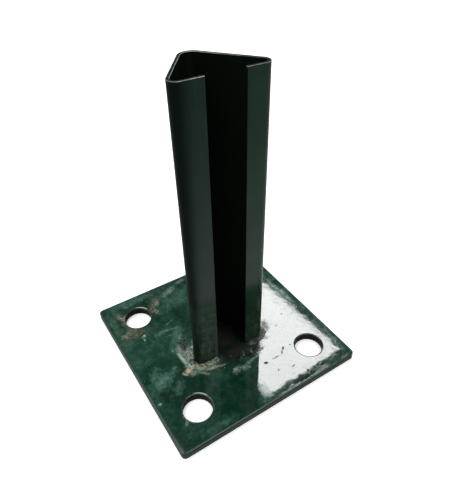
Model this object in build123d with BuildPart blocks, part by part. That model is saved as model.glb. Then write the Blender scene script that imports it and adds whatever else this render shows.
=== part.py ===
from build123d import *
from math import cos, radians, sin, sqrt
import os

# Post base: a folded three-sided upright welded on a square floor plate with four anchor holes.
# Sizes are in millimetres. The origin is the middle of the plate's underside, +Z is up, and
# the open slot between the upright's two lips faces -Y.

# Floor plate
plate_side = 120.0
plate_thickness = 5.0
plate_corner_radius = 2.5
plate_edge_round = 0.8
hole_diameter = 17.0
hole_edge_distance = 20.0
hole_rim_round = 0.9

# Upright, folded from one strip of sheet. Widths are outside ones, taken to sharp corners.
sheet_thickness = 1.5
upright_height = 170.0
front_width = 55.0
left_side_width = 43.0
right_side_width = 47.0
lip_width = 18.0
front_bend_inner_radius = 2.5
back_bend_inner_radius = 5.0
lip_edge_round = 0.4
rim_round = 0.3

# Where the upright stands on the plate: the middle of its front, and its turn about Z
upright_x = -1.9
upright_y = -16.6
upright_turn = -2.4

# Fillet welds round the outside of the upright's foot
weld_leg = 4.5
weld_crown = 0.6
weld_end_gap = 0.8
weld_end_round = 1.2


# The holes' pitch follows the plate: each hole's middle keeps its distance from two edges
hole_pitch = plate_side - 2 * hole_edge_distance

# The section's outer line, in the upright's own plane: X runs along the front, and the two
# sides lean back to meet at the back corner, which their widths place.
left_corner = (-front_width / 2, 0)
right_corner = (front_width / 2, 0)
back_from_left = (left_side_width**2 - right_side_width**2 + front_width**2) / (2 * front_width)
section_depth = sqrt(left_side_width**2 - back_from_left**2)
back_corner = (back_from_left - front_width / 2, section_depth)
left_lip_end = (lip_width - front_width / 2, 0)
right_lip_end = (front_width / 2 - lip_width, 0)
front_bend_radius = front_bend_inner_radius + sheet_thickness
back_bend_radius = back_bend_inner_radius + sheet_thickness

with BuildLine() as section_line:
    FilletPolyline(
        left_lip_end,
        left_corner,
        back_corner,
        right_corner,
        right_lip_end,
        radius=[front_bend_radius, back_bend_radius, front_bend_radius],
    )

foot_plane = Plane(
    origin=(upright_x, upright_y, plate_thickness),
    x_dir=(cos(radians(upright_turn)), sin(radians(upright_turn)), 0),
    z_dir=(0, 0, 1),
)


# Floor plate: cut square, rounded at the corners, along its upper edge and at the holes' rims
with BuildPart() as base_plate:
    with BuildSketch():
        RectangleRounded(plate_side, plate_side, plate_corner_radius)
    extrude(amount=plate_thickness)
    plate_top = base_plate.faces().sort_by(Axis.Z)[-1]
    fillet(plate_top.edges(), plate_edge_round)
    with Locations((0, 0, plate_thickness)):
        with GridLocations(hole_pitch, hole_pitch, 2, 2):
            Hole(hole_diameter / 2)
    holed_top = base_plate.faces().sort_by(Axis.Z)[-1]
    hole_rims = [wire.edges() for wire in holed_top.inner_wires()]
    fillet(hole_rims, hole_rim_round)

base_plate.part.label = "base_plate"


# Upright: the sheet runs inwards from the outer line, open between its two lips
with BuildPart() as upright:
    with BuildSketch(foot_plane) as section:
        with BuildLine():
            add(section_line.line)
            offset(amount=sheet_thickness, side=Side.RIGHT)
        make_face()
        lip_ends = section.edges().filter_by(
            lambda edge: abs(edge.length - sheet_thickness) < 1e-6
        )
        fillet(lip_ends.vertices(), lip_edge_round)
    extrude(amount=upright_height)
    rim = upright.faces().sort_by(Axis.Z)[-1]
    fillet(rim.edges(), rim_round)

upright.part.label = "upright"


# Fillet welds: one run along each lip and each side, each meeting the next at the middle of
# a bend. A lip's run stops just short of the slot, and its end is rounded off.
foot_line = foot_plane.location * section_line.wires()[0]
bends = foot_line.edges().filter_by(GeomType.CIRCLE).sort_by(foot_line)
gap_share = weld_end_gap / foot_line.length
weld_stops = [
    foot_line @ gap_share,
    bends[0] @ 0.5,
    bends[1] @ 0.5,
    bends[2] @ 0.5,
    foot_line @ (1 - gap_share),
]
weld_names = ["weld_left_lip", "weld_left_side", "weld_right_side", "weld_right_lip"]
crown_reach = weld_leg / 2 + weld_crown / sqrt(2)

welds = []
for weld_name, weld_start, weld_stop in zip(weld_names, weld_stops, weld_stops[1:]):
    weld_path = foot_line.trim(weld_start, weld_stop)
    along = weld_path % 0
    outwards = Vector(0, 0, 1).cross(along)
    with BuildPart() as weld:
        with BuildSketch(Plane(origin=weld_path @ 0, x_dir=outwards, z_dir=along)):
            with BuildLine():
                Polyline((0, weld_leg), (0, 0), (weld_leg, 0))
                ThreePointArc((weld_leg, 0), (crown_reach, crown_reach), (0, weld_leg))
            make_face()
        sweep(path=weld_path)
        if weld_name.endswith("lip"):
            free_end = weld.faces().sort_by_distance(foot_plane.origin)[0]
            crown_edge = free_end.edges().sort_by(SortBy.LENGTH)[-1]
            fillet(crown_edge, weld_end_round)
    weld.part.label = weld_name
    welds.append(weld)


os.makedirs("parts", exist_ok=True)
export_step(base_plate.part, "parts/base_plate.step")
export_step(upright.part, "parts/upright.step")
for weld in welds:
    export_step(weld.part, f"parts/{weld.part.label}.step")
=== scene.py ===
"""A used post base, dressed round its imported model: painted floor plate, folded upright and welded foot."""

import logging
import math
from dataclasses import dataclass
from enum import Enum
from functools import partial, reduce

import bpy
from mathutils import Matrix, Vector


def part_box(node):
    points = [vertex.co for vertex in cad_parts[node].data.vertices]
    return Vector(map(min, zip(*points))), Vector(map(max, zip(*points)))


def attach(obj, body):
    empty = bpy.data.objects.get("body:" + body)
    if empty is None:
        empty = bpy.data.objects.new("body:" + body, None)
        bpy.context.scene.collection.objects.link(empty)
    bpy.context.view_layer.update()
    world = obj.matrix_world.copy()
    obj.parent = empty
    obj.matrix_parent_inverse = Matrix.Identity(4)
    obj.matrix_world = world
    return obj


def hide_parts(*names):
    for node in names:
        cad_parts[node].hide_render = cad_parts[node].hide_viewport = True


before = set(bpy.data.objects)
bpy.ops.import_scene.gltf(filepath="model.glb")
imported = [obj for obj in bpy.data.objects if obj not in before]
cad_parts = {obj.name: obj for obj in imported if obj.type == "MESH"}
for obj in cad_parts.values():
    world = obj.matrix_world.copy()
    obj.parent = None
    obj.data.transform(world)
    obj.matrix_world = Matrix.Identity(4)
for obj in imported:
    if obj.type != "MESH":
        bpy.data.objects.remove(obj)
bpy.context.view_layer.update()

log = logging.getLogger("post_base")

MM = 0.001
ROOT = "root"
HOLLOW = "hollow"
PLATE_TOP = 5.0
WELD_LEG = 4.5

Colour = tuple[float, float, float]
ScreenColour = tuple[int, int, int]
Place = tuple[float, float, float]
Point = tuple[float, float]


class Signal:
    """A value that flows through a tree. Signals that are numbers can be added, multiplied and so on."""

    def __init__(self, wiring: "Wiring", socket: bpy.types.NodeSocket) -> None:
        """Keep the socket that the value comes from."""
        self.wiring = wiring
        self.socket = socket

    def __add__(self, other: "Feed") -> "Signal":
        """Return this number plus another."""
        return self.wiring.math("ADD", self, other)

    def __sub__(self, other: "Feed") -> "Signal":
        """Return this number less another."""
        return self.wiring.math("SUBTRACT", self, other)

    def __rsub__(self, other: float) -> "Signal":
        """Return a plain number less this one."""
        return self.wiring.math("SUBTRACT", other, self)

    def __mul__(self, other: "Feed") -> "Signal":
        """Return this number times another."""
        return self.wiring.math("MULTIPLY", self, other)

    def __truediv__(self, other: "Feed") -> "Signal":
        """Return this number divided by another."""
        return self.wiring.math("DIVIDE", self, other)

    def __pow__(self, power: float) -> "Signal":
        """Return this number raised to a power."""
        return self.wiring.math("POWER", self, power)

    def __neg__(self) -> "Signal":
        """Return this number with its sign turned."""
        return self * -1.0

    def __abs__(self) -> "Signal":
        """Return this number without its sign."""
        return self.wiring.math("ABSOLUTE", self)


Feed = Signal | float | int | str | bool | tuple | bpy.types.NodeSocket | bpy.types.ID


def linear(colour: ScreenColour | Signal) -> tuple[float, ...] | Signal:
    """Turn a screen colour into the linear colour that a socket takes.

    Args:
        colour: Red, green and blue from 0 to 255, or a signal, which passes as it is.

    Returns:
        The linear colour, with an alpha of 1, or the signal.
    """
    if isinstance(colour, Signal):
        return colour
    shares = [level / 255 for level in colour]
    levels = [share / 12.92 if share <= 0.04045 else ((share + 0.055) / 1.055) ** 2.4 for share in shares]
    return (*levels, 1.0)


class Wiring:
    """Writes nodes into one tree. An input is linked if it is given a signal or socket, and set if not."""

    MIX_COLOUR = (6, 7, 2)

    def __init__(self, tree: bpy.types.NodeTree) -> None:
        """Keep the tree to write into."""
        self.tree = tree

    def feed(self, socket: bpy.types.NodeSocket, value: Feed) -> None:
        """Link or set one input.

        Args:
            socket: The input.
            value: A signal or socket to link from, or a plain value.
        """
        source = value.socket if isinstance(value, Signal) else value
        if isinstance(source, bpy.types.NodeSocket):
            self.tree.links.new(source, socket)
        else:
            socket.default_value = source

    def node(
        self, kind: str, values: dict[str | int, Feed] | None = None, **settings: object
    ) -> bpy.types.Node:
        """Add a node.

        Args:
            kind: The node's type.
            values: What each input gets, by the input's name or number.
            **settings: The node's own properties.

        Returns:
            The new node.
        """
        made = self.tree.nodes.new(kind)
        for name, setting in settings.items():
            setattr(made, name, setting)
        for key, value in (values or {}).items():
            self.feed(made.inputs[key], value)
        return made

    def output(
        self, kind: str, values: dict[str | int, Feed] | None = None, port: str | int = 0, **settings: object
    ) -> Signal:
        """Add a node and read one of its outputs.

        Args:
            kind: The node's type.
            values: What each input gets, by the input's name or number.
            port: The output's name or number.
            **settings: The node's own properties.

        Returns:
            The output's signal.
        """
        return Signal(self, self.node(kind, values, **settings).outputs[port])

    def math(self, operation: str, *terms: Feed, clamp: bool = False) -> Signal:
        """Return the result of a Math node with these terms."""
        return self.output("ShaderNodeMath", dict(enumerate(terms)), operation=operation, use_clamp=clamp)

    def vector(self, operation: str, *terms: Feed) -> Signal:
        """Return the vector that a Vector Math node gives with these terms."""
        return self.output("ShaderNodeVectorMath", dict(enumerate(terms)), "Vector", operation=operation)

    def measured(self, operation: str, *terms: Feed) -> Signal:
        """Return the number that a Vector Math node such as LENGTH or DOT_PRODUCT gives."""
        return self.output("ShaderNodeVectorMath", dict(enumerate(terms)), "Value", operation=operation)

    def scaled(self, vector: Feed, factor: Feed) -> Signal:
        """Return a vector times a number."""
        return self.output("ShaderNodeVectorMath", {"Vector": vector, "Scale": factor}, operation="SCALE")

    def turned(self, vector: Feed, angle: Feed) -> Signal:
        """Return a vector turned about Z."""
        values = {"Vector": vector, "Angle": angle}
        return self.output("ShaderNodeVectorRotate", values, rotation_type="Z_AXIS")

    def axes(self, vector: Feed) -> tuple[Signal, ...]:
        """Return a vector's X, Y and Z."""
        return tuple(Signal(self, axis) for axis in self.node("ShaderNodeSeparateXYZ", {0: vector}).outputs)

    def ramp(self, value: Feed, low: Feed, high: Feed, start: Feed = 0.0, end: Feed = 1.0) -> Signal:
        """Return a smooth step from start to end as value goes from low to high."""
        values = {"Value": value, "From Min": low, "From Max": high, "To Min": start, "To Max": end}
        return self.output("ShaderNodeMapRange", values, "Result", interpolation_type="SMOOTHSTEP")

    def noise(
        self, vector: Feed, scale: Feed, detail: float = 3.0, roughness: float = 0.5, distortion: Feed = 0.0
    ) -> Signal:
        """Return a noise value, about 0.5 on average."""
        shape = {"Detail": detail, "Roughness": roughness, "Distortion": distortion}
        return self.output("ShaderNodeTexNoise", {"Vector": vector, "Scale": scale, **shape})

    def blend(self, factor: Feed, below: ScreenColour | Signal, above: ScreenColour | Signal) -> Signal:
        """Return the colour below with the colour above laid over it by factor.

        Args:
            factor: How far the colour above covers, from 0 to 1.
            below: The colour below.
            above: The colour above.

        Returns:
            The blended colour.
        """
        under, over, result = self.MIX_COLOUR
        values = {0: factor, under: linear(below), over: linear(above)}
        return self.output("ShaderNodeMix", values, result, data_type="RGBA")

    def either(self, *masks: Feed) -> Signal:
        """Return the strongest of two or more masks."""
        return reduce(partial(self.math, "MAXIMUM"), masks)


class TreeKind(Enum):
    """The kinds of node tree that a group of this file has."""

    SHADER = "ShaderNodeTree"
    GEOMETRY = "GeometryNodeTree"


class SocketKind(Enum):
    """The kinds of socket that a node group of this file has."""

    NUMBER = "NodeSocketFloat"
    WHOLE = "NodeSocketInt"
    VECTOR = "NodeSocketVector"
    GEOMETRY = "NodeSocketGeometry"
    MATERIAL = "NodeSocketMaterial"

    @classmethod
    def fitting(cls, default: object) -> "SocketKind":
        """Return the kind of socket that holds a default value. A kind stands for itself."""
        kinds = {float: cls.NUMBER, int: cls.WHOLE, tuple: cls.VECTOR}
        return default if isinstance(default, cls) else kinds[type(default)]


@dataclass
class Group:
    """A node group with named inputs and outputs, and the wiring that fills it."""

    tree: bpy.types.NodeTree
    wiring: Wiring
    given: bpy.types.Node
    result: bpy.types.Node

    @classmethod
    def new(
        cls, name: str, tree_kind: TreeKind, inputs: dict[str, object], outputs: dict[str, SocketKind]
    ) -> "Group":
        """Make an empty group.

        Args:
            name: The group's name.
            tree_kind: The kind of its tree.
            inputs: Each input's default, or its kind where it has none, by name.
            outputs: Each output's kind, by name.

        Returns:
            The group, with its input and output nodes in place.
        """
        tree = bpy.data.node_groups.new(name, tree_kind.value)
        for label, default in inputs.items():
            kind = SocketKind.fitting(default)
            socket = tree.interface.new_socket(label, in_out="INPUT", socket_type=kind.value)
            if default is not kind:
                socket.default_value = default
        for label, kind in outputs.items():
            tree.interface.new_socket(label, in_out="OUTPUT", socket_type=kind.value)
        return cls(tree, Wiring(tree), tree.nodes.new("NodeGroupInput"), tree.nodes.new("NodeGroupOutput"))

    @classmethod
    def effect(cls, name: str, *outputs: str, **inputs: float | tuple) -> "Group":
        """Make an empty shader group that reads a place and puts out numbers.

        Args:
            name: The group's name.
            *outputs: The outputs' names.
            **inputs: Each input's default, by name, with _ for a space.

        Returns:
            The group.
        """
        given = {label.replace("_", " "): default for label, default in inputs.items()}
        numbers = dict.fromkeys(outputs, SocketKind.NUMBER)
        return cls.new(name, TreeKind.SHADER, {"Place": SocketKind.VECTOR, **given}, numbers)

    def __getitem__(self, name: str) -> Signal:
        """Return what an input carries inside the group."""
        return Signal(self.wiring, self.given.outputs[name])

    def put(self, name: str, value: Feed) -> None:
        """Link a value to one of the group's outputs."""
        self.wiring.feed(self.result.inputs[name], value)


@dataclass(frozen=True)
class FootSection:
    """The upright's section where it meets the plate, in millimetres, as the model has it."""

    front_width: float = 55.0
    left_width: float = 43.0
    right_width: float = 47.0
    lip_width: float = 18.0
    front_bend: float = 4.0
    back_bend: float = 6.5
    middle: Point = (-1.9, -16.6)
    turn: float = -2.4
    arc_steps: int = 24

    def corners(self) -> list[Vector]:
        """Return the sharp corners of the outer line, left, back and right, in the section's own plane.

        Returns:
            The three corners, in millimetres.
        """
        half = self.front_width / 2
        along = (self.left_width**2 - self.right_width**2 + self.front_width**2) / (2 * self.front_width)
        depth = math.sqrt(self.left_width**2 - along**2)
        return [Vector((-half, 0, 0)), Vector((along - half, depth, 0)), Vector((half, 0, 0))]

    def placed(self, point: Vector) -> Vector:
        """Return a point of the section's plane in the row frame, still in millimetres."""
        return Matrix.Rotation(math.radians(self.turn), 3, "Z") @ point + Vector((*self.middle, 0))

    def outline(self) -> tuple[list[Vector], list[int]]:
        """Walk the outer line from the right lip's free edge round the back to the left lip's.

        Returns:
            The points, in the row frame, and the number of the point at the middle of each bend.
        """
        left, back, right = self.corners()
        stops = [
            Vector((right.x - self.lip_width, 0, 0)),
            right,
            back,
            left,
            Vector((left.x + self.lip_width, 0, 0)),
        ]
        radii = [self.front_bend, self.back_bend, self.front_bend]
        points = [stops[0]]
        middles = []
        for before, corner, after, radius in zip(stops, stops[1:], stops[2:], radii):
            into = (corner - before).normalized()
            out = (after - corner).normalized()
            swing = into.angle(out)
            reach = radius * math.tan(swing / 2)
            centre = corner - into * reach + Vector((-into.y, into.x, 0)) * radius
            spoke = corner - into * reach - centre
            for step in range(self.arc_steps + 1):
                turned = Matrix.Rotation(swing * step / self.arc_steps, 3, "Z") @ spoke
                points.append(centre + turned)
            middles.append(len(points) - 1 - self.arc_steps // 2)
        points.append(stops[-1])
        return [self.placed(point) for point in points], middles


@dataclass(frozen=True)
class Mark:
    """One stain, smudge, pit or patch of painted shade on the plate: an ellipse with a ragged edge, in
    millimetres and degrees.
    """

    x: float
    y: float
    length: float
    width: float
    turn: float = 0.0
    strength: float = 1.0
    ragged: float = 0.6
    grain: float = 0.25


class Effects:
    """The shader node groups that more than one finish uses, each built once. Lengths are millimetres."""

    ragged_reach: float = 3.2
    mark_core: float = 0.15
    speck_core: float = 0.45
    line_core: float = 0.3
    break_grain: float = 0.25
    wave_grain: float = 0.11
    peel_grain: float = 0.45
    dust_grain: float = 3.2
    corner_blend: float = 5.0

    def __init__(self, section: FootSection) -> None:
        """Build every group.

        Args:
            section: Where the upright meets the plate.
        """
        self.soft_mark = self._soft_mark()
        self.film = self._film()
        self.specks = self._specks()
        self.streaks = self._streaks()
        self.squiggles = self._squiggles()
        self.skin = self._skin()
        self.foot_distance = self._foot_distance(section)

    def _soft_mark(self) -> Group:
        """Build an ellipse that fades out at a ragged edge.

        Returns:
            The group, which puts out a mask.
        """
        group = Group.effect(
            "soft mark", "Mask", Centre=(0.0, 0.0, 0.0), Half_Size=(10.0, 10.0, 1000.0),
            Turn=0.0, Ragged=0.5, Grain=0.2
        )
        wiring = group.wiring
        offset = wiring.vector("SUBTRACT", group["Place"], group["Centre"])
        share = wiring.vector("DIVIDE", wiring.turned(offset, -group["Turn"]), group["Half Size"])
        rough = wiring.noise(group["Place"], group["Grain"], detail=5.0, roughness=0.62)
        edge = (rough - 0.5) * group["Ragged"] * self.ragged_reach + wiring.measured("LENGTH", share)
        group.put("Mask", wiring.ramp(edge, 1.0, self.mark_core))
        return group

    def _film(self) -> Group:
        """Build a cloudy film: noise stretched along the axes and cut off below a level.

        Returns:
            The group, which puts out a mask.
        """
        group = Group.effect(
            "cloudy film", "Mask", Stretch=(1.0, 1.0, 1.0), Grain=0.05, Low=0.4, High=0.7, Twist=0.5
        )
        wiring = group.wiring
        stretched = wiring.vector("MULTIPLY", group["Place"], group["Stretch"])
        cloud = wiring.noise(stretched, group["Grain"], detail=7.0, roughness=0.6, distortion=group["Twist"])
        group.put("Mask", wiring.ramp(cloud, group["Low"], group["High"]))
        return group

    def _specks(self) -> Group:
        """Build scattered dots: a share of the cells, each with its own tone.

        Returns:
            The group, which puts out a mask and each dot's tone.
        """
        group = Group.effect("specks", "Mask", "Tone", Spacing=4.0, Size=0.12, Share=0.3)
        wiring = group.wiring
        density = wiring.math("DIVIDE", 1.0, group["Spacing"])
        cells = wiring.node("ShaderNodeTexVoronoi", {"Vector": group["Place"], "Scale": density})
        pick, size_pick, tone = wiring.axes(cells.outputs["Color"])
        wanted = wiring.math("LESS_THAN", pick, group["Share"])
        reach = group["Size"] * (size_pick * 0.8 + 0.35)
        dot = wiring.ramp(cells.outputs["Distance"], reach, reach * self.speck_core)
        group.put("Mask", dot * wanted)
        group.put("Tone", tone)
        return group

    def _streaks(self) -> Group:
        """Build short fine scratches that all run one way.

        Returns:
            The group, which puts out a mask.
        """
        group = Group.effect("streaks", "Mask", Turn=0.0, Fineness=(0.03, 1.6, 0.03), Low=0.66, High=0.76)
        wiring = group.wiring
        fine = wiring.vector("MULTIPLY", wiring.turned(group["Place"], group["Turn"]), group["Fineness"])
        lines = wiring.noise(fine, 1.0, roughness=0.6)
        group.put("Mask", wiring.ramp(lines, group["Low"], group["High"]))
        return group

    def _squiggles(self) -> Group:
        """Build thin winding lines, as dried paint and slag leave them.

        Returns:
            The group, which puts out a mask.
        """
        group = Group.effect("squiggles", "Mask", Grain=0.6, Width=0.03)
        wiring = group.wiring
        cloud = wiring.noise(group["Place"], group["Grain"], detail=1.5, distortion=1.2)
        line = wiring.ramp(abs(cloud - 0.5), group["Width"], group["Width"] * self.line_core)
        broken = wiring.ramp(wiring.noise(group["Place"], self.break_grain, detail=2.0), 0.38, 0.62)
        group.put("Mask", line * broken)
        return group

    def _skin(self) -> Group:
        """Build the paint's skin: a slow wave, a fine orange peel and a little dust, as one height.

        Returns:
            The group, which puts out a height.
        """
        group = Group.effect("paint skin", "Height", Stretch=(1.0, 1.0, 1.0), Wave=0.6, Peel=0.25, Dust=0.15)
        wiring = group.wiring
        stretched = wiring.vector("MULTIPLY", group["Place"], group["Stretch"])
        wave = wiring.noise(stretched, self.wave_grain, detail=2.0) * group["Wave"]
        peel = wiring.noise(stretched, self.peel_grain) * group["Peel"]
        dust = wiring.noise(stretched, self.dust_grain, detail=2.0) * group["Dust"]
        group.put("Height", wave + peel + dust)
        return group

    def _foot_distance(self, section: FootSection) -> Group:
        """Build the distance from the upright's foot line, positive outside it.

        Args:
            section: Where the upright meets the plate.

        Returns:
            The group, which puts out a distance.
        """
        group = Group.effect("foot distance", "Distance")
        wiring = group.wiring
        left, back, right = (section.placed(corner) for corner in section.corners())
        sides = []
        for start, end in ((right, left), (left, back), (back, right)):
            along = (end - start).normalized()
            outwards = Vector((-along.y, along.x, 0))
            facing = wiring.measured("DOT_PRODUCT", group["Place"], tuple(outwards))
            sides.append(facing - outwards.dot(start))
        nearest = wiring.math("SMOOTH_MAX", sides[0], sides[1], self.corner_blend)
        group.put("Distance", wiring.math("SMOOTH_MAX", nearest, sides[2], self.corner_blend))
        return group


def empty_material(name: str) -> tuple[bpy.types.Material, Wiring]:
    """Make a material with no nodes.

    Args:
        name: The material's name.

    Returns:
        The material and its wiring.
    """
    material = bpy.data.materials.new(name)
    material.use_nodes = True
    material.node_tree.nodes.clear()
    return material, Wiring(material.node_tree)


@dataclass(frozen=True)
class Brush:
    """A material in the making. Its place is the piece's own coordinates in millimetres."""

    material: bpy.types.Material
    wiring: Wiring
    place: Signal
    normal: Signal

    @classmethod
    def start(cls, name: str) -> "Brush":
        """Start an empty material and return its brush.

        Args:
            name: The material's name.

        Returns:
            The material's brush.
        """
        material, wiring = empty_material(name)
        own = wiring.node("ShaderNodeTexCoord")
        place = wiring.scaled(own.outputs["Object"], 1 / MM)
        return cls(material, wiring, place, Signal(wiring, own.outputs["Normal"]))

    def lay(self, group: Group, **values: Feed) -> dict[str, Signal]:
        """Put a shared effect into the material.

        Args:
            group: The effect's group.
            **values: Its inputs, by name, with _ for a space.

        Returns:
            Its outputs, by name.
        """
        made = self.wiring.node("ShaderNodeGroup", node_tree=group.tree)
        self.wiring.feed(made.inputs["Place"], self.place)
        for name, value in values.items():
            self.wiring.feed(made.inputs[name.replace("_", " ")], value)
        return {output.name: Signal(self.wiring, output) for output in made.outputs}

    def mask(self, group: Group, **values: Feed) -> Signal:
        """Put a shared effect into the material and return its mask."""
        return self.lay(group, **values)["Mask"]


@dataclass(frozen=True)
class Coat:
    """What every painted finish sets on its shader's own sockets: a body colour under a clear gloss."""

    name: str
    specular: float
    bump_depth: float
    gloss_roughness: float = 0.1
    ior: float = 1.5

    def finish(
        self, brush: Brush, base: Feed, roughness: Feed, height: Feed, gloss: Feed = 0.0
    ) -> bpy.types.Material:
        """End a material in a paint shader.

        Args:
            brush: The material in the making.
            base: The base colour.
            roughness: The roughness.
            height: The height that the bump follows, in parts of the bump's depth.
            gloss: The weight of the clear gloss.

        Returns:
            The finished material.
        """
        wiring = brush.wiring
        relief = {"Strength": 1.0, "Distance": self.bump_depth, "Height": height}
        paint = wiring.output("ShaderNodeBsdfPrincipled", {
            "Base Color": base,
            "Roughness": roughness,
            "Normal": wiring.output("ShaderNodeBump", relief),
            "IOR": self.ior,
            "Specular IOR Level": self.specular,
            "Coat Weight": gloss,
            "Coat Roughness": self.gloss_roughness,
            "Coat IOR": self.ior,
        })
        wiring.node("ShaderNodeOutputMaterial", {"Surface": paint})
        return brush.material


@dataclass(frozen=True)
class HolePattern:
    """The plate's four holes, in millimetres. Each middle lies the offset away from both axes."""

    offset: float = 40.0
    radius: float = 8.5
    rim_round: float = 0.9

    def spoke(self, brush: Brush) -> Signal:
        """Return the way out from the nearest hole's middle, with the plate folded onto its first corner.

        Args:
            brush: The material in the making.

        Returns:
            The way out, level with the plate, in millimetres.
        """
        wiring = brush.wiring
        folded = wiring.vector("ABSOLUTE", brush.place)
        out = wiring.vector("SUBTRACT", folded, (self.offset, self.offset, 0.0))
        return wiring.vector("MULTIPLY", out, (1.0, 1.0, 0.0))


@dataclass(frozen=True)
class Layer:
    """One film over the plate's paint: its colour, how far it covers and how much roughness it adds."""

    name: str
    colour: ScreenColour
    cover: float = 1.0
    roughness: float = 0.0


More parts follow.
